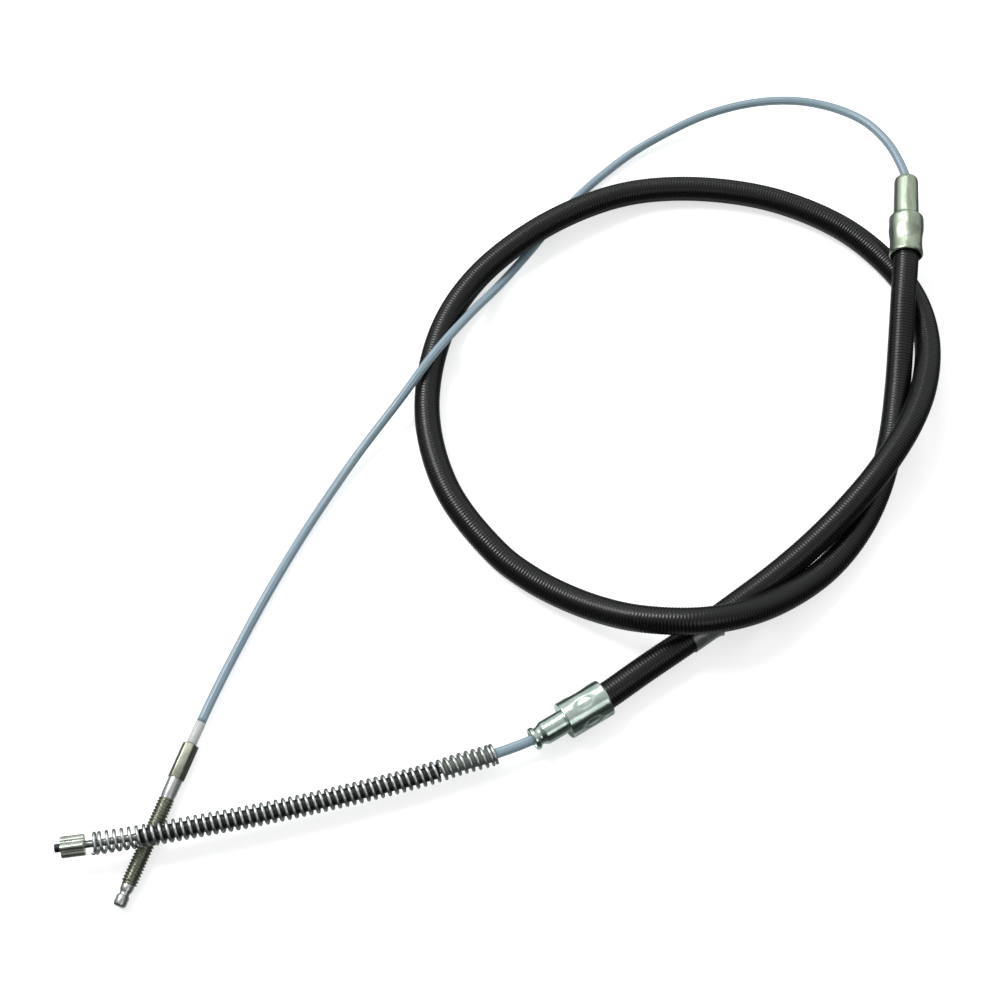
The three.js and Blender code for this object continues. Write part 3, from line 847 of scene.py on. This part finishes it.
def make_nipple():
    """The nipple: a short tube crimped into four ridged lobes, one of them towards the viewer."""
    places = np.linspace(NIPPLE_ROUNDING, NIPPLE_LENGTH - NIPPLE_ROUNDING, 45)
    line = np.stack([metres(NIPPLE_FACE + NIPPLE_AIM * d) for d in places])
    total = (NIPPLE_LENGTH - 2 * NIPPLE_ROUNDING) * MM
    over = np.cross(unit(line[1] - line[0]), unit(np.cross(UP, NIPPLE_AIM)))
    side = unit(np.cross(UP, NIPPLE_AIM))
    ridge = math.atan2(VIEW_SIDE @ over, VIEW_SIDE @ side)
    corners_at = [0.0, 0.11, 0.51, 0.66, math.pi / 4]
    corners_r = [1.0, 0.985, 0.8, 0.64, 0.62]

    def lobed(s, angle):
        offset = np.abs((angle - ridge + math.pi / 4) % (math.pi / 2) - math.pi / 4)
        shape = np.interp(offset, corners_at, corners_r)
        end = np.minimum(s, total - s)
        rounding = np.clip(end / (0.35 * MM), 0, 1)
        return NIPPLE_R * MM * shape * (0.93 + 0.07 * np.sqrt(rounding))
    bm = swept(line, lobed, 128)
    sharpen(piece(bm, "crimped_nipple", "crimped_zinc", "drum_end", ["nipple"]), 28)
    stub_from = NIPPLE_FACE + (NIPPLE_LENGTH - 0.6) * NIPPLE_AIM
    stub_to = NIPPLE_FACE + (NIPPLE_LENGTH + STUB_LENGTH) * NIPPLE_AIM
    stub_line = np.linspace(metres(stub_from), metres(stub_to), 8)
    stub = swept(stub_line, lambda s, angle: STUB_R, 28)
    sharpen(piece(stub, "strand_stub", "black_plastic", "drum_end"), 40)


make_drum_cable()
make_spring()
make_sleeve_and_guide()
make_nipple()


# Floor, world and lamps

FLOOR_LIFT = 0.66


def make_floor():
    """A plain white floor that keeps a soft shadow, and shows in metal as a painted dark reflection at
    a low angle.
    """
    bm = bmesh.new()
    bmesh.ops.create_grid(bm, x_segments=1, y_segments=1, size=3.0)
    mesh = bpy.data.meshes.new("floor")
    bm.to_mesh(mesh)
    bm.free()
    floor = bpy.data.objects.new("floor", mesh)
    floor.location = (0, 0, -0.0003)
    bpy.context.scene.collection.objects.link(floor)
    look = Look("floor_white")
    look.set(Roughness=0.8, Specular_IOR_Level=0.1)
    # Painted reflection: seen in metal at a low angle, the floor's colour turns dark. This is a painted
    # dark reflection, while camera rays still see it white.
    path = look.node("ShaderNodeLightPath")
    split = look.node("ShaderNodeSeparateXYZ")
    look.link(look.node("ShaderNodeNewGeometry").outputs["Incoming"], split.inputs[0])
    near = look.node("ShaderNodeMapRange")
    near.inputs["From Min"].default_value = 0.85
    near.inputs["From Max"].default_value = 0.5
    look.link(split.outputs["Z"], near.inputs["Value"])
    painted_dark_reflection = look.node("ShaderNodeMath", operation="MULTIPLY")
    look.link(near.outputs["Result"], painted_dark_reflection.inputs[0])
    look.link(path.outputs["Is Glossy Ray"], painted_dark_reflection.inputs[1])
    look.color(look.ramp(painted_dark_reflection.outputs[0], (0.0, (0.9, 0.92, 0.91)), (1.0, (0.06, 0.07, 0.065))))
    lift = look.node("ShaderNodeMath", operation="MULTIPLY")
    lift.inputs[1].default_value = FLOOR_LIFT
    look.link(path.outputs["Is Camera Ray"], lift.inputs[0])
    look.link(lift.outputs[0], look.shader.inputs["Emission Strength"])
    look.set(Emission_Color=(1, 1, 1, 1))
    mesh.materials.append(look.material)


def make_world():
    """A white surround that is dark low down and behind the camera, so that metal shows dark bands."""
    world = bpy.data.worlds.new("surround")
    bpy.context.scene.world = world
    world.use_nodes = True
    tree = world.node_tree
    back = tree.nodes["Background"]
    place = tree.nodes.new("ShaderNodeTexCoord")
    split = tree.nodes.new("ShaderNodeSeparateXYZ")
    tree.links.new(place.outputs["Generated"], split.inputs[0])
    ramp = tree.nodes.new("ShaderNodeValToRGB")
    stops = [(0.0, 0.05), (0.3, 0.08), (0.6, 0.18), (0.8, 0.48), (1.0, 0.55)]
    elements = ramp.color_ramp.elements
    while len(elements) < len(stops):
        elements.new(0.5)
    for element, (at, level) in zip(elements, stops):
        element.position = at
        element.color = (level, level, level, 1.0)
    tree.links.new(split.outputs["Z"], ramp.inputs["Fac"])
    far = tree.nodes.new("ShaderNodeMapRange")
    far.inputs["From Min"].default_value = -0.1
    far.inputs["From Max"].default_value = 0.5
    tree.links.new(split.outputs["Y"], far.inputs["Value"])
    near = tree.nodes.new("ShaderNodeMapRange")
    near.inputs["From Min"].default_value = -0.75
    near.inputs["From Max"].default_value = -0.05
    near.inputs["To Min"].default_value = 0.3
    tree.links.new(split.outputs["Y"], near.inputs["Value"])
    dimmed = tree.nodes.new("ShaderNodeMix")
    dimmed.data_type = "RGBA"
    dimmed.inputs[6].default_value = (0, 0, 0, 1)
    tree.links.new(near.outputs["Result"], dimmed.inputs["Factor"])
    tree.links.new(ramp.outputs["Color"], dimmed.inputs[7])
    mix = tree.nodes.new("ShaderNodeMix")
    mix.data_type = "RGBA"
    mix.inputs[7].default_value = (0.72, 0.74, 0.73, 1)
    tree.links.new(far.outputs["Result"], mix.inputs["Factor"])
    tree.links.new(dimmed.outputs[2], mix.inputs[6])
    tree.links.new(mix.outputs[2], back.inputs["Color"])
    back.inputs["Strength"].default_value = 0.8


def make_lamp(name, place, target, size, power):
    """A soft square lamp that looks at a place."""
    data = bpy.data.lights.new(name, "AREA")
    data.shape = "RECTANGLE"
    data.size, data.size_y = size
    data.energy = power
    lamp = bpy.data.objects.new(name, data)
    lamp.location = place
    aim = Vector(target) - Vector(place)
    lamp.rotation_euler = aim.to_track_quat("-Z", "Y").to_euler()
    bpy.context.scene.collection.objects.link(lamp)


make_floor()
make_world()
make_lamp("key", (-0.75, 0.45, 1.1), (0, 0, 0), (0.5, 0.5), 9.0)
make_lamp("fill", (0.5, -0.9, 1.0), (0, 0, 0), (0.9, 0.6), 1.5)
make_lamp("line_a", (-0.24, 1.1, 1.4), (0.1, 0, 0), (0.07, 0.9), 1.3)
make_lamp("line_b", (-0.06, 1.1, 1.4), (0.1, 0, 0), (0.04, 0.9), 0.8)

scene = bpy.context.scene
scene.view_settings.view_transform = "Standard"
